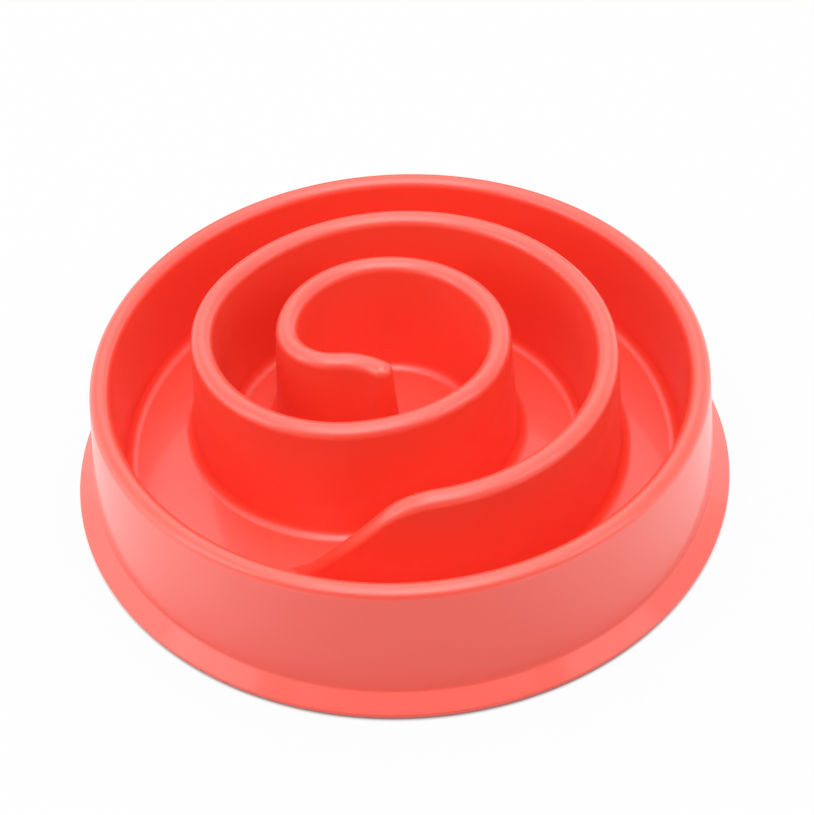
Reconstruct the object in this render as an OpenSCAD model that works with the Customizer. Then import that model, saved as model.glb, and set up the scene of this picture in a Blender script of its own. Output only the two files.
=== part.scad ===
// Slow feeder bowl: a round moulded dish whose spiral ridge makes a dog eat around it.
// +Z is up, the origin is the centre of the circle that the feet stand on, sizes in millimetres.

/* [Base] */
// Diameter of the base flange at its widest, which the walls and the feet follow
flange_d = 240; // [234:1:250]
// Gap under the flange, which the feet hold off the ground
stand_gap = 1; // [0.5:0.1:2]
// Height of the flange's upper edge over its lower face
flange_h = 7; // [5:0.5:10]
// Width of the flange outside the skirt
flange_w = 6.2; // [4:0.1:8]
// Radius of the flange's outer edge
flange_edge_r = 1.1; // [0.6:0.1:1.4]
// Width of the ring that the flange ends in underneath
flange_lip = 1.4; // [1:0.1:3]

/* [Rim and walls] */
// Height of the rim over the ground
rim_h = 50.4; // [44:0.2:54]
// Distance of the middle of the rim's round inside the flange's edge
rim_inset = 14.2; // [12:0.1:17]
// Radius of the full round on the rim
rim_r = 3.65; // [3:0.05:4.5]
// Distance of the inner wall's foot inside the flange's edge
floor_inset = 18.8; // [17:0.1:21]
// Height of the floor that the food lies on
floor_h = 9.6; // [8:0.2:12]
// Radius where a wall runs into the floor
foot_fillet_r = 4; // [1.5:0.1:4.5]
// Thickness of the moulded skin
skin_t = 2.2; // [1.8:0.1:2.6]

/* [Spiral ridge] */
// Height of the ridge over the ground
ridge_h = 57; // [50:0.5:60]
// Radius of the full round on the ridge
ridge_r = 4; // [3.2:0.1:4.6]
// Lean of each side of the ridge, in degrees
ridge_draft = 4; // [1:0.5:6]
// Radius of the outer turn, which is centred on the bowl
turn_1_r = 73.5; // [72:0.5:75]
// Radius of the turn as it starts to wind in
turn_2_r = 52; // [50:0.5:54]
// Radius along the front of the inner turn
turn_3_r = 62; // [60:0.5:64]
// Radius along the right side of the inner turn
turn_4_r = 40.7; // [39:0.1:42]
// Radius along the back of the inner turn
turn_5_r = 34.2; // [33:0.1:36]
// Radius of the last bend towards the middle
turn_6_r = 17.9; // [17:0.1:19]
// Radius of the reverse bend that the ridge ends on
turn_7_r = 23.5; // [22:0.5:26]
// Lean of the ramp at the ridge's outer end, in degrees
ramp_angle = 50; // [40:1:60]
// Radius that rounds the ridge over into its ramp
ramp_crest_r = 25; // [15:1:30]
// Radius that rounds the ramp out onto the floor
ramp_foot_r = 8; // [4:1:12]

/* [Feet] */
// Distance of the middle of a foot inside the flange's edge
feet_inset = 29; // [28:0.5:30]
// Diameter of a rubber foot
foot_d = 14; // [11:0.5:15]
// Radius of the foot's lower edge
foot_edge_r = 1.2; // [0.5:0.1:1.5]
// Diameter of the hollow moulded up into a foot
foot_core_d = 6; // [4:0.5:8]
// Depth of the hollow in a foot
foot_core_h = 4; // [2:0.5:5]
// Gap round a foot and above it in its socket
foot_gap = 0.3; // [0.2:0.05:0.4]
// Wall thickness of a foot's socket
socket_t = 1.8; // [1.4:0.1:2.4]

/* [Hidden] */
$fn = 96;
// how far a cut runs past the face it opens
overrun = 1;
// how far a flat runs on inside the round that it meets, so that the two cross
tuck = 0.02;
// length and depth of the laps that join the ridge's bends
lap = 0.2;
lap_inset = 0.05;
// how far the faceted ramp stays inside the ridge where they lap
ramp_inset = 0.06;
// height of the flange's lower face
base_z = stand_gap;
flange_r = flange_d / 2;
rim_c = [flange_r - rim_inset, rim_h - rim_r];
wall_foot = [flange_r - floor_inset, floor_h];
skirt_foot = [flange_r - flange_w, base_z + flange_h];
edge_c = [flange_r - flange_edge_r, base_z + flange_edge_r];
under_floor_z = floor_h - skin_t;
// how deep a piece that stands on the floor reaches into the skin
root = skin_t / 2;
ridge_c_z = ridge_h - ridge_r;
// bearing where the ridge is full height and its ramp begins, in degrees
spiral_start = -81.5;
// radius and sweep in degrees of each bend of the ridge, a minus sign turns it clockwise
bends = [
    [turn_1_r, 227.6],
    [turn_2_r, 125.3],
    [turn_3_r, 38.6],
    [turn_4_r, 148.3],
    [turn_5_r, 79.7],
    [turn_6_r, 92.6],
    [-turn_7_r, 40]
];
bend_count = len(bends);
// steps along the faceted ramp: its upper round, its slope and its lower round
ramp_crest_steps = 8;
ramp_slope_steps = 4;
ramp_foot_steps = 4;
// steps round half of a ramp section: its crest and its fillet
crest_steps = 7;
fillet_steps = 7;
// height of the ramp's tip over the floor, as a share of the ridge radius
tip_share = 0.05;
// width of the flat top of the hollow in the ridge, as a share of its full width
bevel_share = 0.5;
socket_r = foot_d / 2 + foot_gap;
foot_top_z = under_floor_z - foot_gap;
feet_count = 6;
// bearing of the first foot, in degrees
feet_start = 30;
shell_colour = [1, 0.32, 0.28];
foot_colour = [0.16, 0.16, 0.17];

// Point at a bearing and distance from a centre.
function polar(centre, radius, bearing) = centre + radius * [cos(bearing), sin(bearing)];

// Bearing from a circle's centre to where a line from an outside point touches the circle.
function touch(centre, radius, point, side) =
    let (reach = point - centre)
    atan2(reach[1], reach[0]) + side * acos(radius / norm(reach));

skirt_bearing = touch(rim_c, rim_r, skirt_foot, 1);
wall_bearing = touch(rim_c, rim_r, wall_foot, -1);
flare_bearing = touch(edge_c, flange_edge_r, skirt_foot, -1);
wall_draft = abs(180 - abs(wall_bearing));

// Point at a height on the inner face of a wall, one skin behind the outer line through a point.
function behind(point, bearing, height) =
    let (shifted = polar(point, -skin_t, bearing))
    [shifted[0] - (height - shifted[1]) * tan(bearing), height];

// Fill between the floor and a wall that leans away by a draft, round towards the open side.
module fillet(corner, draft, open_side) {
    run = foot_fillet_r * tan((90 - draft) / 2);
    wall_end = corner + [-open_side * run * sin(draft), run * cos(draft)];
    difference() {
        polygon([
            corner + [-open_side * root, -root],
            corner + [open_side * run, -root],
            corner + [open_side * run, 0],
            wall_end,
            wall_end + [-open_side * root, 0]
        ]);
        translate(corner + [open_side * (run - tuck), foot_fillet_r - tuck])
            circle(r = foot_fillet_r);
    }
}

// Half section of the dish as if it were solid.
module dish_outside() {
    polygon([
        [0, base_z],
        [edge_c[0], base_z],
        edge_c,
        polar(edge_c, flange_edge_r - tuck, flare_bearing),
        skirt_foot,
        polar(rim_c, rim_r - tuck, skirt_bearing),
        rim_c,
        polar(rim_c, rim_r - tuck, wall_bearing),
        wall_foot,
        [0, floor_h]
    ]);
    translate(edge_c)
        circle(r = flange_edge_r);
    translate(rim_c)
        circle(r = rim_r);
    fillet(wall_foot, wall_draft, -1);
}

// Half section of the space under the skin, open underneath.
module dish_inside() {
    polygon([
        [0, base_z - overrun],
        [edge_c[0] - flange_lip, base_z - overrun],
        [edge_c[0] - flange_lip, base_z],
        behind(skirt_foot, skirt_bearing, skirt_foot[1]),
        polar(rim_c, rim_r - skin_t - tuck, skirt_bearing),
        rim_c,
        polar(rim_c, rim_r - skin_t - tuck, wall_bearing),
        behind(wall_foot, wall_bearing, under_floor_z),
        [0, under_floor_z]
    ]);
    translate(rim_c)
        circle(r = rim_r - skin_t);
}

// Both halves of an outline that is given from the top of its middle line down.
function mirrored(half) =
    concat(
        [for (i = [len(half) - 1 : -1 : 1]) [-half[i][0], half[i][1]]],
        half
    );

// Half width of the ridge at a height on its straight side.
function side_x(radius, height) =
    radius * cos(ridge_draft)
    + (ridge_c_z + radius * sin(ridge_draft) - height) * tan(ridge_draft);

// Section of the ridge: a full round on leaning sides that run out onto the floor.
module ridge_section(inset) {
    radius = ridge_r - inset;
    side_r = radius - tuck;
    bottom = floor_h - root;
    foot_x = side_x(side_r, bottom);
    shoulder = [side_r * cos(ridge_draft), ridge_c_z + side_r * sin(ridge_draft)];
    corner = [side_x(side_r, floor_h - inset), floor_h - inset];
    polygon([
        [-foot_x, bottom],
        [foot_x, bottom],
        shoulder,
        [-shoulder[0], shoulder[1]]
    ]);
    translate([0, ridge_c_z])
        circle(r = radius);
    for (side = [-1, 1])
        fillet([side * corner[0], corner[1]], ridge_draft, side);
}

// Half outline of the hollow in the ridge at the height of its top, which has one bevel a side.
function hollow_half(top_z, radius) =
    let (
        shoulder = [radius * cos(ridge_draft), top_z - radius * (1 - sin(ridge_draft))],
        foot_x = shoulder[0] + (shoulder[1] - base_z) * tan(ridge_draft)
    )
    [
        [0, top_z],
        [radius * bevel_share, top_z],
        shoulder,
        [foot_x, base_z]
    ];

module hollow_section(inset) {
    polygon(mirrored(hollow_half(ridge_h - skin_t - inset, ridge_r - skin_t - inset)));
}

// Place and heading of the ridge after a bend: [[x, y], heading].
function after(place, bend) =
    let (
        turned = place[1] + sign(bend[0]) * bend[1],
        centre = polar(place[0], bend[0], place[1] + 90)
    )
    [polar(centre, -bend[0], turned + 90), turned];

function place_at(i) =
    i == 0
        ? [polar([0, 0], turn_1_r, spiral_start), spiral_start + 90]
        : after(place_at(i - 1), bends[i - 1]);

// Every second bend is the slimmer one and laps into its neighbours.
function is_slim(i) = i % 2;
function slimmed(i) = is_slim(i) * lap_inset;

// Sweeps a section round one bend of the ridge.
module along_bend(i) {
    place = place_at(i);
    radius = bends[i][0];
    sweep = bends[i][1];
    lap_turn = is_slim(i) * lap / abs(radius) * 180 / PI;
    start = radius > 0 ? place[1] - 90 : place[1] + 90 - sweep;
    translate(polar(place[0], radius, place[1] + 90))
        rotate([0, 0, start - lap_turn])
            rotate_extrude(angle = sweep + lap_turn * 2)
                translate([abs(radius), 0])
                    children();
}

// Turns half of a section by half a turn, to close the ridge's inner end.
module at_inner_end() {
    place = place_at(bend_count);
    translate(polar(place[0], -lap, place[1]))
        rotate([0, 0, place[1] - 90])
            rotate_extrude(angle = 180)
                intersection() {
                    children();
                    square([turn_6_r, ridge_h + overrun]);
                }
}

// Run and height of the crest at each station of the ramp, for the skin's outer or inner face.
function ramp_line(round_r, end_z) =
    let (
        slope_start = [0, ridge_h - ramp_crest_r] + round_r * [sin(ramp_angle), cos(ramp_angle)],
        slope_drop = slope_start[1] - end_z,
        slope = [slope_drop / tan(ramp_angle), -slope_drop]
    )
    concat(
        [[-lap, ridge_h - ramp_crest_r + round_r]],
        [
            for (i = [1 : ramp_crest_steps - 1])
                let (lean = ramp_angle * i / ramp_crest_steps)
                [0, ridge_h - ramp_crest_r] + round_r * [sin(lean), cos(lean)]
        ],
        [
            for (i = [0 : ramp_slope_steps])
                slope_start + slope * i / ramp_slope_steps
        ]
    );

// The ramp's last stations, where its crest rounds out onto the floor.
function ramp_foot_line(from) = [
    for (i = [1 : ramp_foot_steps])
        let (lean = ramp_angle * (1 - i / ramp_foot_steps))
        from + ramp_foot_r * [sin(ramp_angle) - sin(lean), cos(ramp_angle) - cos(lean)]
];

// Half outline of the ramp at a crest height, from the crest down into the floor.
function ramp_half(crest_z) =
    let (
        radius = ridge_r - ramp_inset,
        centre_z = crest_z - ridge_r,
        foot_z = floor_h - ramp_inset,
        reach = radius + foot_fillet_r,
        full_lean = 90 - ridge_draft,
        lean = min(full_lean, acos(min(1, (foot_fillet_r + foot_z - centre_z) / reach))),
        side_drop = centre_z + radius * cos(full_lean) - foot_z,
        side_foot = radius * sin(full_lean) + side_drop * tan(ridge_draft),
        fillet_x = lean < full_lean
            ? reach * sin(lean)
            : side_foot + foot_fillet_r * tan(full_lean / 2)
    )
    concat(
        [
            for (i = [0 : crest_steps])
                let (a = lean * i / crest_steps)
                [radius * sin(a), centre_z + radius * cos(a)]
        ],
        [
            for (i = [0 : fillet_steps])
                let (a = lean * (1 - i / fillet_steps))
                [fillet_x - foot_fillet_r * sin(a), foot_z + foot_fillet_r * (1 - cos(a))]
        ],
        [[fillet_x, floor_h - root]]
    );

// Strips that fill the first or the last outline of a loft, from its foot up to its crest.
function end_face(count, station) =
    let (crest = (count - 1) / 2, first = station * count)
    [
        for (j = [0 : crest - 1])
            let (
                left = [first + j, first + j + 1],
                right = [first + count - 2 - j, first + count - 1 - j],
                strip = j == crest - 1 ? [left[0], left[1], right[1]] : concat(left, right)
            )
            station == 0 ? [for (k = [len(strip) - 1 : -1 : 0]) strip[k]] : strip
    ];

// Skins a row of closed outlines that stand on the outer turn's circle, one at each run.
module loft(outlines, runs) {
    count = len(outlines[0]);
    last = len(outlines) - 1;
    points = [
        for (i = [0 : last])
            let (bearing = spiral_start - runs[i] / turn_1_r * 180 / PI)
            for (q = outlines[i])
                let (spot = polar([0, 0], turn_1_r + q[0], bearing))
                [spot[0], spot[1], q[1]]
    ];
    sides = [
        for (i = [0 : last - 1])
            for (j = [0 : count - 1])
                let (
                    a = i * count + j,
                    b = i * count + (j + 1) % count,
                    c = b + count,
                    d = a + count
                )
                each [[a, b, d], [b, c, d]]
    ];
    polyhedron(points, concat(end_face(count, 0), end_face(count, last), sides));
}

module ramp_solid() {
    foot_drop = ramp_foot_r * (1 - cos(ramp_angle));
    upper = ramp_line(ramp_crest_r, floor_h + tip_share * ridge_r + foot_drop);
    line = concat(upper, ramp_foot_line(upper[len(upper) - 1]));
    loft([for (q = line) mirrored(ramp_half(q[1]))], [for (q = line) q[0]]);
}

module ramp_hollow() {
    line = ramp_line(ramp_crest_r - skin_t, under_floor_z);
    radius = ridge_r - skin_t - ramp_inset;
    loft([for (q = line) mirrored(hollow_half(q[1] - ramp_inset, radius))], [for (q = line) q[0]]);
}

// Puts a foot or its socket at its place on the feet's circle.
module at_foot(i) {
    rotate([0, 0, feet_start + 360 / feet_count * i])
        translate([flange_r - feet_inset, 0, 0])
            children();
}

module socket() {
    translate([0, 0, base_z])
        difference() {
            cylinder(r = socket_r + socket_t, h = under_floor_z + root - base_z);
            translate([0, 0, -overrun])
                cylinder(r = socket_r, h = under_floor_z - base_z + overrun);
        }
}

// One moulding: skirt, flange, rim, inner wall, floor, spiral ridge and foot sockets.
module bowl_shell() {
    color(shell_colour)
        union() {
            difference() {
                union() {
                    rotate_extrude()
                        dish_outside();
                    for (i = [0 : bend_count - 1])
                        along_bend(i)
                            ridge_section(slimmed(i));
                    at_inner_end()
                        ridge_section(lap_inset);
                    ramp_solid();
                }
                rotate_extrude()
                    dish_inside();
                for (i = [0 : bend_count - 1])
                    along_bend(i)
                        hollow_section(slimmed(i));
                at_inner_end()
                    hollow_section(lap_inset);
                ramp_hollow();
            }
            for (i = [0 : feet_count - 1])
                at_foot(i)
                    socket();
        }
}

// Rubber plug with a rounded lower edge and a blind hollow above.
module rubber_foot(i) {
    foot_r = foot_d / 2;
    color(foot_colour)
        at_foot(i)
            difference() {
                rotate_extrude()
                    union() {
                        translate([0, foot_edge_r])
                            square([foot_r, foot_top_z - foot_edge_r]);
                        square([foot_r - foot_edge_r, foot_edge_r]);
                        translate([foot_r - foot_edge_r, foot_edge_r])
                            circle(r = foot_edge_r);
                    }
                translate([0, 0, foot_top_z - foot_core_h])
                    cylinder(d = foot_core_d, h = foot_core_h + overrun);
            }
}

bowl_shell();
rubber_foot(0);  // rubber_foot_1
rubber_foot(1);  // rubber_foot_2
rubber_foot(2);  // rubber_foot_3
rubber_foot(3);  // rubber_foot_4
rubber_foot(4);  // rubber_foot_5
rubber_foot(5);  // rubber_foot_6
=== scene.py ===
"""Looks of the slow feeder bowl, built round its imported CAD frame.

The moulded shell is one closed mesh: rings turned about the bowl's axis, a ridge strip swept
along a chain of tangent arcs, and flat floors between them. Its lengths are millimetres until
a mesh is made, and the frame gives the bowl's overall sizes. The stage is in metres.
"""

import math

import bmesh
import bpy
import numpy as np
from mathutils import Matrix, Vector
from mathutils.geometry import delaunay_2d_cdt


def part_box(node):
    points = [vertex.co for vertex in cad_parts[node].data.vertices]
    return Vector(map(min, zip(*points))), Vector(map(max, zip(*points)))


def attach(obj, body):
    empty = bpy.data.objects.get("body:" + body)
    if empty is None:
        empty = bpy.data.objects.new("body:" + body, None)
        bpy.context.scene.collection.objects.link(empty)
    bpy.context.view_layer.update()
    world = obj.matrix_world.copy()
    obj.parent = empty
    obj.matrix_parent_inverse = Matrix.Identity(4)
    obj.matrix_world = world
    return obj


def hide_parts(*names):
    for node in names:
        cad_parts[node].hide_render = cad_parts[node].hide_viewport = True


MM = 0.001

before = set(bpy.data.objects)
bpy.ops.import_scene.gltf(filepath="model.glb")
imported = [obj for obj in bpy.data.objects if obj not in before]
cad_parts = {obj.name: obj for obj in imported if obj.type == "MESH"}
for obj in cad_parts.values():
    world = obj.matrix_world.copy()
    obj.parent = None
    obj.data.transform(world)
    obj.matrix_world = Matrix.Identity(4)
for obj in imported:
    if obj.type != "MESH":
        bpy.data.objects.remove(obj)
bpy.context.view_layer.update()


def node_box(name):
    """Lowest and highest corner of a CAD node, in millimetres."""
    low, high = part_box(name)
    return np.array(low) / MM, np.array(high) / MM


SHELL_LOW, SHELL_HIGH = node_box("bowl_shell")
FOOT_NODES = sorted(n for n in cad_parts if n.startswith("rubber_foot"))

# Overall sizes that the frame gives
FLANGE_R = min(*SHELL_HIGH[:2], *-SHELL_LOW[:2])
BASE_Z = SHELL_LOW[2]
RIDGE_H = SHELL_HIGH[2]
FOOT_TOP_Z = node_box(FOOT_NODES[0])[1][2]

# Base and walls
FLANGE_H = 7.0
SKIRT_R = 113.8
FLANGE_EDGE_R = 1.1
FLANGE_LIP = 1.4
KNEE_R = 1.6
RIM_H = 50.4
RIM_MID_R = 105.8
RIM_R = 3.65
FLOOR_R = 101.2
FLOOR_H = 9.6
FILLET_R = 4.0
SKIN = 2.2
UNDER_FILLET_R = SKIN / 2

# Spiral ridge: radius and sweep in degrees of each bend, a minus sign turns it clockwise
RIDGE_R = 4.0
RIDGE_DRAFT = math.radians(4)
RIDGE_START = math.radians(-81.5)
BENDS = [
    (73.5, 227.6),
    (52.0, 125.3),
    (62.0, 38.6),
    (40.7, 148.3),
    (34.2, 79.7),
    (17.9, 92.6),
    (-23.5, 40.0),
]
# The ramp at its outer end, whose skin is thicker upright by a share of the crest's drop, up to
# the full thickness of a leaning skin
RAMP_LEAN = math.radians(50)
RAMP_CREST_R = 25.0
RAMP_FOOT_R = 8.0
RAMP_SKIN_SHARE = 0.15

# Rubber feet and their sockets
FEET_CIRCLE_R = 91.0
FEET_START = math.radians(30)
FOOT_R = 7.0
FOOT_EDGE_R = 1.2
FOOT_BEVEL = 0.3
FOOT_CORE_R = 3.0
FOOT_CORE_H = 4.0
FOOT_GAP = 0.3
SOCKET_T = 1.8
SOCKET_BEVEL = 0.3
# Shallow ring in a foot's tread, whose mouth is twice as wide as its bottom
GROOVE_R = 3.85
GROOVE_BOTTOM_W = 0.5
GROOVE_DEPTH = 0.25

# Fineness of the meshes: vertices round a ring, and steps along each stretch of an outline
RING_STEPS = 360
FOOT_STEPS = 64
CREST_STEPS = 16
SIDE_STEPS = 8
HOLLOW_STEPS = 8
FILLET_STEPS = 12
RAMP_CREST_STEPS = 18
RAMP_SLOPE_STEPS = 24
RAMP_FOOT_STEPS = 12
END_STEPS = 32
# Longest step round an arc, along the ridge, up a wall, down the flange and inside the walls
ARC_STEP = math.radians(7.5)
PATH_STEP = 2.0
WALL_STEP = 6.0
FLANGE_STEP = 2.0
INNER_STEP = 8.0
# Settings of the triangulation that fills a flat floor: all triangles, and its tolerance
ALL_TRIANGLES = 0
FILL_TOLERANCE = 1e-5
# Distance in metres over which vertices weld, and the angle at which an edge stays sharp
WELD = 2e-6
SHARP = math.radians(35)
# How fully a smoothed normal follows the larger faces round it
NORMAL_WEIGHT = 100


# Outlines in a section plane
def polar(centre, radius, bearing):
    """Point of a plane at a bearing and distance from a centre."""
    return np.array(centre, float) + radius * np.array([math.cos(bearing), math.sin(bearing)])


def arc(centre, radius, start, end):
    """Points along an arc, both ends included."""
    count = max(2, math.ceil(abs(end - start) / ARC_STEP) + 1)
    return [polar(centre, radius, a) for a in np.linspace(start, end, count)]


def between(start, end, step):
    """Points along a line, without its two ends."""
    start, end = np.array(start, float), np.array(end, float)
    count = max(1, math.ceil(np.linalg.norm(end - start) / step))
    return [start + (end - start) * i / count for i in range(1, count)]


def touch(centre, radius, point, side):
    """Bearing at which a line from an outside point touches a circle."""
    reach = np.array(point, float) - np.array(centre, float)
    return math.atan2(reach[1], reach[0]) + side * math.acos(radius / np.linalg.norm(reach))


def rounded(before, corner, after, radius):
    """Arc that rounds the corner between two straight lines."""
    corner = np.array(corner, float)
    a, b = np.array(before, float) - corner, np.array(after, float) - corner
    a, b = a / np.linalg.norm(a), b / np.linalg.norm(b)
    half = math.acos(np.clip(a @ b, -1, 1)) / 2
    centre = corner + (a + b) / np.linalg.norm(a + b) * radius / math.sin(half)
    p, q = (corner + v * radius / math.tan(half) - centre for v in (a, b))
    start = math.atan2(p[1], p[0])
    turn = math.remainder(math.atan2(q[1], q[0]) - start, math.tau)
    return arc(centre, radius, start, start + turn)


RIM_C = (RIM_MID_R, RIM_H - RIM_R)
WALL_FOOT = (FLOOR_R, FLOOR_H)
KNEE = (SKIRT_R, BASE_Z + FLANGE_H)
EDGE_C = (FLANGE_R - FLANGE_EDGE_R, BASE_Z + FLANGE_EDGE_R)
UNDER_Z = FLOOR_H - SKIN
RIDGE_C_Z = RIDGE_H - RIDGE_R
FULL_LEAN = math.pi / 2 - RIDGE_DRAFT
SKIRT_TURN = touch(RIM_C, RIM_R, KNEE, 1)
WALL_TURN = touch(RIM_C, RIM_R, WALL_FOOT, -1) % math.tau
FLARE_TURN = touch(EDGE_C, FLANGE_EDGE_R, KNEE, -1)


def wall_section():
    """Half section of the dish: floor, wall, rim, skirt, flange and back up to under the floor."""
    wall_top = polar(RIM_C, RIM_R, WALL_TURN)
    skirt_top = polar(RIM_C, RIM_R, SKIRT_TURN)
    flare_foot = polar(EDGE_C, FLANGE_EDGE_R, FLARE_TURN)
    lip = (EDGE_C[0] - FLANGE_LIP, BASE_Z)
    inner_wall = polar(RIM_C, RIM_R - SKIN, WALL_TURN)
    inner_skirt = polar(RIM_C, RIM_R - SKIN, SKIRT_TURN)
    inner_knee = polar(KNEE, -SKIN, SKIRT_TURN)
    under_corner = (polar(WALL_FOOT, -SKIN, WALL_TURN)[0], UNDER_Z)
    fillet = rounded((0, FLOOR_H), WALL_FOOT, wall_top, FILLET_R)
    knee = rounded(skirt_top, KNEE, flare_foot, KNEE_R)
    under = rounded(inner_wall, under_corner, (0, UNDER_Z), UNDER_FILLET_R)
    points = fillet + between(fillet[-1], wall_top, WALL_STEP)
    points += arc(RIM_C, RIM_R, WALL_TURN, SKIRT_TURN)
    points += between(skirt_top, knee[0], WALL_STEP) + knee
    points += between(knee[-1], flare_foot, FLANGE_STEP)
    points += arc(EDGE_C, FLANGE_EDGE_R, FLARE_TURN, -math.pi / 2)
    points += [np.array(lip)] + between(lip, inner_knee, FLANGE_STEP) + [inner_knee]
    points += between(inner_knee, inner_skirt, INNER_STEP)
    points += arc(RIM_C, RIM_R - SKIN, SKIRT_TURN, WALL_TURN)
    points += between(inner_wall, under[0], INNER_STEP) + under
    return points


# The ridge
def ridge_path():
    """Places along the full-height ridge, from the head of its ramp to its inner end: x, y, heading."""
    spot = polar((0, 0), BENDS[0][0], RIDGE_START)
    heading = RIDGE_START + math.pi / 2
    places = [(spot[0], spot[1], heading)]
    for radius, degrees in BENDS:
        turn = math.copysign(math.radians(degrees), radius)
        centre = polar(spot, radius, heading + math.pi / 2)
        count = math.ceil(abs(radius * turn) / PATH_STEP)
        for i in range(1, count + 1):
            h = heading + turn * i / count
            x, y = polar(centre, -radius, h + math.pi / 2)
            places.append((x, y, h))
        spot, heading = np.array([x, y]), h
    return places


def ramp_profile():
    """Run past the ramp's head and drop of the crest, from the head down to the tip on the floor."""
    profile = []
    for lean in np.linspace(0, RAMP_LEAN, RAMP_CREST_STEPS + 1)[1:]:
        profile.append((RAMP_CREST_R * math.sin(lean), RAMP_CREST_R * (1 - math.cos(lean))))
    foot_drop = RAMP_FOOT_R * (1 - math.cos(RAMP_LEAN))
    head_run, head_drop = profile[-1]
    slope_drop = RIDGE_H - FLOOR_H - head_drop - foot_drop
    slope_run = slope_drop / math.tan(RAMP_LEAN)
    for i in range(1, RAMP_SLOPE_STEPS + 1):
        share = i / RAMP_SLOPE_STEPS
        profile.append((head_run + slope_run * share, head_drop + slope_drop * share))
    run, drop = profile[-1]
    for lean in np.linspace(RAMP_LEAN, 0, RAMP_FOOT_STEPS + 1)[1:]:
        profile.append((
            run + RAMP_FOOT_R * (math.sin(RAMP_LEAN) - math.sin(lean)),
            drop + RAMP_FOOT_R * (math.cos(lean) - math.cos(RAMP_LEAN)),
        ))
    return profile


def ramp_place(run):
    """Place on the ramp at a run past its head: x, y, heading."""
    radius = BENDS[0][0]
    bearing = RIDGE_START - run / radius
    x, y = polar((0, 0), radius, bearing)
    return x, y, bearing + math.pi / 2


def crest_lean(level, centre_z, reach):
    """How far a crest's round leans out, to its straight side or to where it meets a level."""
    return min(FULL_LEAN, math.acos(np.clip((level - centre_z) / reach, -1, 1)))


def crest_round(radius, centre_z, lean, steps):
    """Points round a crest, from its top out to a lean."""
    return [
        (radius * math.sin(a), centre_z + radius * math.cos(a))
        for a in np.linspace(0, lean, steps + 1)
    ]


def ridge_half(drop):
    """Half section of the ridge where its crest has dropped, from the crest to the floor."""
    centre_z = RIDGE_C_Z - drop
    reach = RIDGE_R + FILLET_R
    lean = crest_lean(FLOOR_H + FILLET_R, centre_z, reach)
    crest = crest_round(RIDGE_R, centre_z, lean, CREST_STEPS)
    side_top = np.array(crest[-1])
    fillet_x = reach * math.sin(lean)
    if lean == FULL_LEAN:
        side_foot = side_top[0] + (side_top[1] - FLOOR_H) * math.tan(RIDGE_DRAFT)
        fillet_x = side_foot + FILLET_R * math.tan(FULL_LEAN / 2)
    fillet = [
        (fillet_x - FILLET_R * math.sin(a), FLOOR_H + FILLET_R * (1 - math.cos(a)))
        for a in np.linspace(lean, 0, FILLET_STEPS + 1)
    ]
    side = [
        tuple(side_top + (np.array(fillet[0]) - side_top) * i / SIDE_STEPS)
        for i in range(1, SIDE_STEPS)
    ]
    return crest + side + fillet


def hollow_half(top_z):
    """Half section of the hollow in the ridge, from its top to the underside of the floor."""
    radius = RIDGE_R - SKIN
    centre_z = max(top_z, UNDER_Z) - radius
    lean = crest_lean(UNDER_Z, centre_z, radius)
    crest = crest_round(radius, centre_z, lean, HOLLOW_STEPS)
    top = np.array(crest[-1])
    foot = np.array([top[0] + (top[1] - UNDER_Z) * math.tan(RIDGE_DRAFT), UNDER_Z])
    side = [tuple(top + (foot - top) * i / SIDE_STEPS) for i in range(1, SIDE_STEPS + 1)]
    return crest + side


def hollow_tops(drops):
    """Heights of the hollow's top where the ramp's crest has dropped."""
    leaning_skin = SKIN / math.cos(RAMP_LEAN)
    return [RIDGE_H - drop - min(leaning_skin, SKIN + drop * RAMP_SKIN_SHARE) for drop in drops]


# Mesh making
class Skin:
    """Collects the vertices and faces of one closed mesh."""

    def __init__(self):
        self.points = []
        self.faces = []

    def add(self, x, y, z):
        """Adds a vertex and gives its number."""
        self.points.append((x, y, z))
        return len(self.points) - 1

    def strip(self, one, two, flip=False, closed=False):
        """Faces between two rows of vertices."""
        for i in range(len(one) if closed else len(one) - 1):
            j = (i + 1) % len(one)
            face = [one[i], one[j], two[j], two[i]]
            self.faces.append(face[::-1] if flip else face)

    def fill(self, loops, up):
        """Flat faces between closed loops of vertices, of which the first is the outer one."""
        order = [v for loop in loops for v in loop]
        edges, start = [], 0
        for loop in loops:
            edges += [(start + i, start + (i + 1) % len(loop)) for i in range(len(loop))]
            start += len(loop)
        flat = [Vector(self.points[v][:2]) for v in order]
        spots, _, faces, origins, _, _ = delaunay_2d_cdt(
            flat, edges, [], ALL_TRIANGLES, FILL_TOLERANCE
        )
        level = self.points[order[0]][2]
        known = [order[o[0]] if o else self.add(s[0], s[1], level) for s, o in zip(spots, origins)]
        rings = [np.array([self.points[v][:2] for v in loop]) for loop in loops]
        for face in faces:
            middle = np.mean([spots[v] for v in face], axis=0)
            if not inside(middle, rings[0]) or any(inside(middle, r) for r in rings[1:]):
                continue
            corners = [np.array(spots[v]) for v in face]
            is_up = cross(corners[1] - corners[0], corners[2] - corners[0]) > 0
            face = [known[v] for v in face]
            self.faces.append(face if is_up == up else face[::-1])

    def mesh(self, name):
        """The Blender mesh in metres, welded, smooth, and sharp only at its real corners."""
        mesh = bpy.data.meshes.new(name)
        mesh.from_pydata([tuple(MM * c for c in p) for p in self.points], [], self.faces)
        work = bmesh.new()
        work.from_mesh(mesh)
        bmesh.ops.remove_doubles(work, verts=work.verts, dist=WELD)
        bmesh.ops.dissolve_degenerate(work, dist=WELD / 2, edges=work.edges)
        for face in work.faces:
            face.smooth = True
        work.to_mesh(mesh)
        work.free()
        mesh.set_sharp_from_angle(angle=SHARP)
        return mesh


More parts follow.
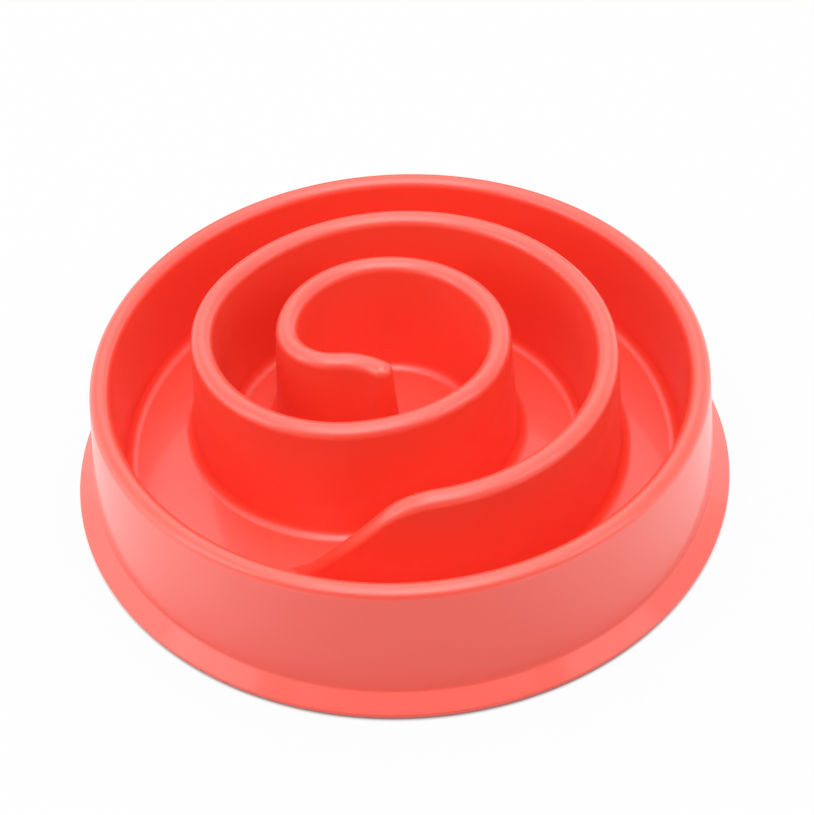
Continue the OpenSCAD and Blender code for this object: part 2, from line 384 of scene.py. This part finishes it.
def cross(a, b):
    """Cross product of two flat vectors, positive where the second lies to the left."""
    return a[0] * b[1] - a[1] * b[0]


def inside(point, ring):
    """Is a point inside a closed loop of points?"""
    x, y = point[0], point[1]
    a, b = ring, np.roll(ring, -1, axis=0)
    passes = (a[:, 1] > y) != (b[:, 1] > y)
    a, b = a[passes], b[passes]
    at = a[:, 0] + (y - a[:, 1]) / (b[:, 1] - a[:, 1]) * (b[:, 0] - a[:, 0])
    return bool(np.count_nonzero(at > x) % 2)


def turned(skin, section, steps, centre=(0.0, 0.0)):
    """One closed ring of vertices for each point of a half section."""
    turns = [math.tau * i / steps for i in range(steps)]
    return [
        [skin.add(centre[0] + r * math.cos(t), centre[1] + r * math.sin(t), z) for t in turns]
        for r, z in section
    ]


def skin_rings(skin, rings, flip):
    """Faces between each closed ring and the next."""
    for one, two in zip(rings, rings[1:]):
        skin.strip(one, two, flip, closed=True)


def at_place(skin, place, right, ahead, z):
    """Vertex beside and ahead of a place on the ridge's path."""
    x, y, heading = place
    c, s = math.cos(heading), math.sin(heading)
    return skin.add(x + s * right + c * ahead, y - c * right + s * ahead, z)


def sweep_ridge(skin, places, halves, flip):
    """Skins the ridge, or the hollow in it, with a half-turned end, and returns its foot's loop."""
    rows = []
    for place, half in zip(places, halves):
        left = [at_place(skin, place, -x, 0, z) for x, z in half[::-1]]
        right = [at_place(skin, place, x, 0, z) for x, z in half[1:]]
        rows.append(left + right)
    for one, two in zip(rows, rows[1:]):
        skin.strip(one, two, flip)
    half = halves[-1][::-1]
    before = rows[-1][: len(half)]
    foot = []
    for i in range(1, END_STEPS):
        turn = math.pi * i / END_STEPS
        c, s = math.cos(turn), math.sin(turn)
        row = [at_place(skin, places[-1], -x * c, x * s, z) for x, z in half]
        skin.strip(before, row, flip)
        foot.append(row[0])
        before = row
    skin.strip(before, rows[-1][len(half) - 1 :][::-1], flip)
    return [row[0] for row in rows] + foot + [row[-1] for row in rows[:0:-1]]


def foot_centre(index):
    """Middle of a foot and of its socket."""
    return polar((0, 0), FEET_CIRCLE_R, FEET_START + math.tau * index / len(FOOT_NODES))


def add_socket(skin, index):
    """Adds a foot's ring socket, closed above, and gives the loop where it meets the floor."""
    bore = FOOT_R + FOOT_GAP
    outer = bore + SOCKET_T
    section = [
        (outer, UNDER_Z),
        (outer, BASE_Z + SOCKET_BEVEL),
        (outer - SOCKET_BEVEL, BASE_Z),
        (bore + SOCKET_BEVEL, BASE_Z),
        (bore, BASE_Z + SOCKET_BEVEL),
        (bore, UNDER_Z),
    ]
    rings = turned(skin, section, FOOT_STEPS, foot_centre(index))
    skin_rings(skin, rings, flip=True)
    skin.fill([rings[-1]], up=False)
    return rings[0]


def build_shell():
    """The whole moulding: dish, ridge, floor, underside and foot sockets."""
    skin = Skin()
    rings = turned(skin, wall_section(), RING_STEPS)
    skin_rings(skin, rings, flip=True)

    path = ridge_path()
    runs, drops = zip(*ramp_profile()[::-1])
    places = [ramp_place(run) for run in runs] + path
    halves = [ridge_half(drop) for drop in drops] + [ridge_half(0.0)] * len(path)
    ridge_foot = sweep_ridge(skin, places, halves, flip=False)
    skin.fill([rings[0], ridge_foot], up=True)

    # the hollow starts one place before its top clears the underside, so that its tip closes
    tops = hollow_tops(drops)
    tip = next(i for i, top in enumerate(tops) if top > UNDER_Z) - 1
    halves = [hollow_half(top) for top in tops[tip:]] + [hollow_half(RIDGE_H - SKIN)] * len(path)
    hollow_foot = sweep_ridge(skin, places[tip:], halves, flip=True)

    sockets = [add_socket(skin, i) for i in range(len(FOOT_NODES))]
    skin.fill([rings[-1], hollow_foot, *sockets], up=False)
    return skin


def build_foot(index):
    """One rubber plug foot: rounded tread edge, a shallow ring in the tread, blind core above."""
    skin = Skin()
    section = [
        (GROOVE_R - GROOVE_BOTTOM_W, 0.0),
        (GROOVE_R - GROOVE_BOTTOM_W / 2, GROOVE_DEPTH),
        (GROOVE_R + GROOVE_BOTTOM_W / 2, GROOVE_DEPTH),
        (GROOVE_R + GROOVE_BOTTOM_W, 0.0),
    ]
    section += arc((FOOT_R - FOOT_EDGE_R, FOOT_EDGE_R), FOOT_EDGE_R, -math.pi / 2, 0)
    section += [
        (FOOT_R, FOOT_TOP_Z - FOOT_BEVEL),
        (FOOT_R - FOOT_BEVEL, FOOT_TOP_Z),
        (FOOT_CORE_R + FOOT_BEVEL, FOOT_TOP_Z),
        (FOOT_CORE_R, FOOT_TOP_Z - FOOT_BEVEL),
        (FOOT_CORE_R, FOOT_TOP_Z - FOOT_CORE_H),
    ]
    rings = turned(skin, section, FOOT_STEPS, foot_centre(index))
    skin_rings(skin, rings, flip=False)
    skin.fill([rings[0]], up=False)
    skin.fill([rings[-1]], up=True)
    return skin


def make_piece(skin, name, node, material):
    """Object from a skin that stands for a CAD node."""
    mesh = skin.mesh(name)
    mesh.materials.append(material)
    piece = bpy.data.objects.new(name, mesh)
    bpy.context.scene.collection.objects.link(piece)
    normals = piece.modifiers.new("weighted_normals", "WEIGHTED_NORMAL")
    normals.mode = "FACE_AREA"
    normals.weight = NORMAL_WEIGHT
    normals.keep_sharp = True
    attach(piece, "root")
    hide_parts(node)
    return piece


# Materials
def srgb(red, green, blue):
    """Linear colour from 0-255 sRGB values."""
    parts = [c / 255 for c in (red, green, blue)]
    return (*[c / 12.92 if c <= 0.04045 else ((c + 0.055) / 1.055) ** 2.4 for c in parts], 1.0)


class Shader:
    """A node material with a few short ways to add and join its nodes."""

    def __init__(self, name):
        self.material = bpy.data.materials.new(name)
        self.material.use_nodes = True
        self.nodes = self.material.node_tree.nodes
        self.links = self.material.node_tree.links
        self.surface = self.nodes["Principled BSDF"]

    def give(self, socket, value):
        """Joins a socket to an output, or sets it to a plain value."""
        if isinstance(value, bpy.types.NodeSocket):
            self.links.new(value, socket)
        else:
            socket.default_value = value

    def node(self, kind, inputs=None, **settings):
        """New node with its settings and inputs."""
        made = self.nodes.new(kind)
        for key, value in settings.items():
            setattr(made, key, value)
        for key, value in (inputs or {}).items():
            self.give(made.inputs[key], value)
        return made

    def noise(self, scale, detail, roughness):
        """Noise over the object, 0 to 1."""
        where = self.node("ShaderNodeTexCoord").outputs["Object"]
        inputs = {"Vector": where, "Scale": scale, "Detail": detail, "Roughness": roughness}
        return self.node("ShaderNodeTexNoise", inputs).outputs["Fac"]

    def ranged(self, value, low, high, to_low, to_high):
        """A value's range stretched to another one, and clamped there."""
        inputs = {
            "Value": value,
            "From Min": low,
            "From Max": high,
            "To Min": to_low,
            "To Max": to_high,
        }
        return self.node("ShaderNodeMapRange", inputs).outputs["Result"]

    def maths(self, operation, *values):
        """Result of a sum on one or two values."""
        return self.node("ShaderNodeMath", dict(enumerate(values)), operation=operation).outputs[0]

    def mixed(self, factor, one, two):
        """Colour between two colours."""
        mix = self.node("ShaderNodeMix", data_type="RGBA")
        for key, value in (("Factor", factor), ("A", one), ("B", two)):
            self.give(next(s for s in mix.inputs if s.name == key and s.enabled), value)
        return next(s for s in mix.outputs if s.enabled)

    def blended(self, factor, one, two):
        """Surface between two surfaces."""
        return self.node("ShaderNodeMixShader", {0: factor, 1: one, 2: two}).outputs[0]

    def bump(self, height, distance, strength):
        """Normal that a height bends."""
        inputs = {"Height": height, "Distance": distance, "Strength": strength}
        return self.node("ShaderNodeBump", inputs).outputs["Normal"]

    def set(self, **values):
        """Inputs of the main shader, with underscores for the spaces in their names."""
        for key, value in values.items():
            self.give(self.surface.inputs[key.replace("_", " ")], value)


def coral_plastic():
    """Semi-gloss moulded plastic with faint flow marks, a satin skin and uneven sheen."""
    made = Shader("coral_plastic")
    flow = made.noise(scale=12.0, detail=1.0, roughness=0.4)
    flow = made.ranged(flow, low=0.35, high=0.65, to_low=0.0, to_high=1.0)
    grain = made.noise(scale=700.0, detail=1.0, roughness=0.5)
    sheen = made.noise(scale=30.0, detail=1.0, roughness=0.4)
    made.set(
        Base_Color=made.mixed(flow, srgb(246, 64, 38), srgb(248, 67, 41)),
        Roughness=made.ranged(sheen, low=0.3, high=0.7, to_low=0.46, to_high=0.50),
        Normal=made.bump(grain, distance=0.00001, strength=0.15),
        IOR=1.6,
        Specular_IOR_Level=1.0,
        Coat_Weight=0.4,
        Coat_Roughness=0.1,
    )
    return made.material


def dark_rubber():
    """Matt dark rubber with a fine grain and dusty patches."""
    made = Shader("dark_rubber")
    dust = made.noise(scale=140.0, detail=4.0, roughness=0.65)
    dust = made.ranged(dust, low=0.45, high=0.7, to_low=0.0, to_high=1.0)
    grain = made.noise(scale=2600.0, detail=2.0, roughness=0.5)
    made.set(
        Base_Color=made.mixed(dust, srgb(38, 38, 40), srgb(66, 65, 64)),
        Roughness=made.ranged(dust, low=0.0, high=1.0, to_low=0.72, to_high=0.88),
        Normal=made.bump(grain, distance=0.00004, strength=0.6),
    )
    return made.material


def pale_floor():
    """White floor: it takes the bowl's soft shadow, shows almost white, glows towards its sides as a
    painted reflection, and is clear from below.
    """
    made = Shader("pale_floor")
    made.set(Base_Color=FLOOR_GREY, Roughness=0.6, Specular_IOR_Level=0.1)
    path = made.node("ShaderNodeLightPath").outputs
    where = made.node("ShaderNodeTexCoord").outputs["Object"]

    reach = made.node("ShaderNodeVectorMath", {0: where}, operation="LENGTH").outputs["Value"]
    edge = [FLANGE_R * MM + past for past in FLOOR_WHITENS]
    seen = made.ranged(reach, *edge, 0.0, FLOOR_WHITE_SHARE)
    seen = made.maths("MULTIPLY", path["Is Camera Ray"], seen)

    # Painted reflection: glossy rays see the floor glow white towards its sides, brighter than the
    # lamps light it
    beside = made.node("ShaderNodeSeparateXYZ", {"Vector": where}).outputs["X"]
    beside = made.maths("ABSOLUTE", beside)
    painted_reflection = made.ranged(beside, *FLOOR_PAINTED_GLOW_SIDES, *FLOOR_PAINTED_GLOW_SHARES)
    painted_reflection = made.maths("MULTIPLY", path["Is Glossy Ray"], painted_reflection)

    # Camera rays see plain white at strength 1; glossy rays see it glow brighter, as a painted
    # reflection
    white_and_painted_glow = made.ranged(path["Is Glossy Ray"], 0.0, 1.0, 1.0, FLOOR_PAINTED_GLOW_STRENGTH)
    white = made.node("ShaderNodeEmission", {"Color": WHITE, "Strength": white_and_painted_glow}).outputs[0]
    share = made.maths("MAXIMUM", seen, painted_reflection)
    above = made.blended(share, made.surface.outputs["BSDF"], white)

    is_below = made.node("ShaderNodeNewGeometry").outputs["Backfacing"]
    clear = made.node("ShaderNodeBsdfTransparent").outputs[0]
    both = made.blended(is_below, above, clear)
    made.links.new(both, made.nodes["Material Output"].inputs["Surface"])
    return made.material


# Stage
WHITE = (1.0, 1.0, 1.0, 1.0)
FLOOR_SIZE = 6.0
FLOOR_GREY = (0.64, 0.64, 0.64, 1.0)
# How much of what the camera sees of the floor is plain white
FLOOR_WHITE_SHARE = 0.95
# Distances past the flange's edge over which the floor turns from its true shade to white
FLOOR_WHITENS = (-0.0008, 0.0004)
# Painted reflection: in reflections the floor glows white, brighter towards its sides, standing in for
# light from the side boxes:
# distances from the middle, the share of painted white at each, and how bright that glowing white is
FLOOR_PAINTED_GLOW_SIDES = (0.06, 0.14)
FLOOR_PAINTED_GLOW_SHARES = (0.05, 0.75)
FLOOR_PAINTED_GLOW_STRENGTH = 1.6
# Strength of the world's light on the bowl, and as the camera sees it
WORLD_STRENGTH = 0.05
WORLD_SEEN_STRENGTH = 1.0
# Camera fitted to the photograph: lens and sensor in mm, angles in radians
CAMERA_LENS = 77.46
CAMERA_SENSOR = 36.0
CAMERA_HEIGHT = 0.0010
CAMERA_DISTANCE = 0.6540
CAMERA_ELEVATION = 0.7961
CAMERA_PAN = -0.0033
CAMERA_TILT = -0.0264
CAMERA_ROLL = -0.0506
# Softboxes all aimed at the bowl's middle from the same distance, angles in degrees: bands of a dome
# with their elevation, height and the radiance of each box round them, counted from the right
DOME_R = 1.5
DOME_BANDS = [
    (12, 24, (0.9, 1.5, 0.0, 1.3, 1.6, 0.4, 0.0, 0.3)),
    (37, 26, (0.5, 0.9, 1.8, 0.9, 0.8, 0.0, 0.0, 0.0)),
    (62, 26, (0.7, 0.9, 1.1, 0.6, 0.9, 0.9)),
]
# Single boxes, one overhead, two in front and one on either side of those: elevation, bearing,
# height, width and radiance
SINGLE_BOXES = [
    (90, 0, 30, 30, 2.6),
    (68, 270, 20, 80, 2.4),
    (50, 270, 12, 80, 2.3),
    (33, 205, 26, 30, 2.3),
    (33, 333, 26, 30, 2.0),
]
OVERHEAD = 90
FULL_CIRCLE = 360


def build_camera():
    """Camera where the photograph's outlines say it stood, with its small pan, tilt and roll."""
    c, s = math.cos(CAMERA_ELEVATION), math.sin(CAMERA_ELEVATION)
    aimed = Matrix(((1, 0, 0), (0, -s, -c), (0, c, -s)))
    turns = (
        Matrix.Rotation(CAMERA_ROLL, 3, "Z")
        @ Matrix.Rotation(CAMERA_TILT, 3, "X")
        @ Matrix.Rotation(CAMERA_PAN, 3, "Y")
    )
    rows = turns @ aimed
    spot = Vector((0, -CAMERA_DISTANCE * c, CAMERA_DISTANCE * s + CAMERA_HEIGHT))
    axes = Matrix((rows[0], -rows[1], -rows[2])).transposed()
    data = bpy.data.cameras.new("camera")
    data.lens = CAMERA_LENS
    data.sensor_width = CAMERA_SENSOR
    data.dof.use_dof = False
    camera = bpy.data.objects.new("camera", data)
    camera.matrix_world = Matrix.Translation(spot) @ axes.to_4x4()
    bpy.context.scene.collection.objects.link(camera)
    bpy.context.scene.camera = camera


def build_floor():
    """Square floor that the bowl stands on."""
    half = FLOOR_SIZE / 2
    mesh = bpy.data.meshes.new("floor")
    corners = [(-half, -half, 0), (half, -half, 0), (half, half, 0), (-half, half, 0)]
    mesh.from_pydata(corners, [], [(0, 1, 2, 3)])
    mesh.materials.append(pale_floor())
    floor = bpy.data.objects.new("floor", mesh)
    bpy.context.scene.collection.objects.link(floor)


def build_world():
    """Faint light from all round, which the camera itself sees as white."""
    world = bpy.data.worlds.new("studio")
    world.use_nodes = True
    nodes, links = world.node_tree.nodes, world.node_tree.links
    background = nodes["Background"]
    background.inputs["Color"].default_value = WHITE
    strength = nodes.new("ShaderNodeMapRange")
    strength.inputs["To Min"].default_value = WORLD_STRENGTH
    strength.inputs["To Max"].default_value = WORLD_SEEN_STRENGTH
    path = nodes.new("ShaderNodeLightPath")
    links.new(path.outputs["Is Camera Ray"], strength.inputs["Value"])
    links.new(strength.outputs["Result"], background.inputs["Strength"])
    bpy.context.scene.world = world


def build_softbox(elevation, bearing, tall, wide, radiance):
    """Area lamp on the dome; its angles are degrees."""
    up, across = math.radians(elevation), math.radians(bearing)
    height = 2 * DOME_R * math.tan(math.radians(tall) / 2)
    width = 2 * DOME_R * math.tan(math.radians(wide) / 2)
    if elevation < OVERHEAD:
        width *= math.cos(up)
    name = f"softbox_{elevation}_{bearing:.0f}"
    data = bpy.data.lights.new(name, "AREA")
    data.shape = "RECTANGLE"
    data.size, data.size_y = width, height
    data.energy = radiance * math.pi * width * height
    lamp = bpy.data.objects.new(name, data)
    lamp.location = DOME_R * Vector(
        (math.cos(up) * math.cos(across), math.cos(up) * math.sin(across), math.sin(up))
    )
    lamp.rotation_euler = (-lamp.location).to_track_quat("-Z", "Y").to_euler()
    bpy.context.scene.collection.objects.link(lamp)


def build_lamps():
    """Softboxes round the dome, then the single ones."""
    for elevation, tall, radiances in DOME_BANDS:
        step = FULL_CIRCLE / len(radiances)
        for i, radiance in enumerate(radiances):
            if radiance:
                build_softbox(elevation, step * i, tall, step, radiance)
    for box in SINGLE_BOXES:
        build_softbox(*box)


build_camera()
build_floor()
build_world()
build_lamps()
plastic = coral_plastic()
rubber = dark_rubber()
make_piece(build_shell(), "moulded_bowl", "bowl_shell", plastic)
for i, node in enumerate(FOOT_NODES):
    make_piece(build_foot(i), f"foot_{i + 1}", node, rubber)

bpy.context.scene.view_settings.view_transform = "Standard"
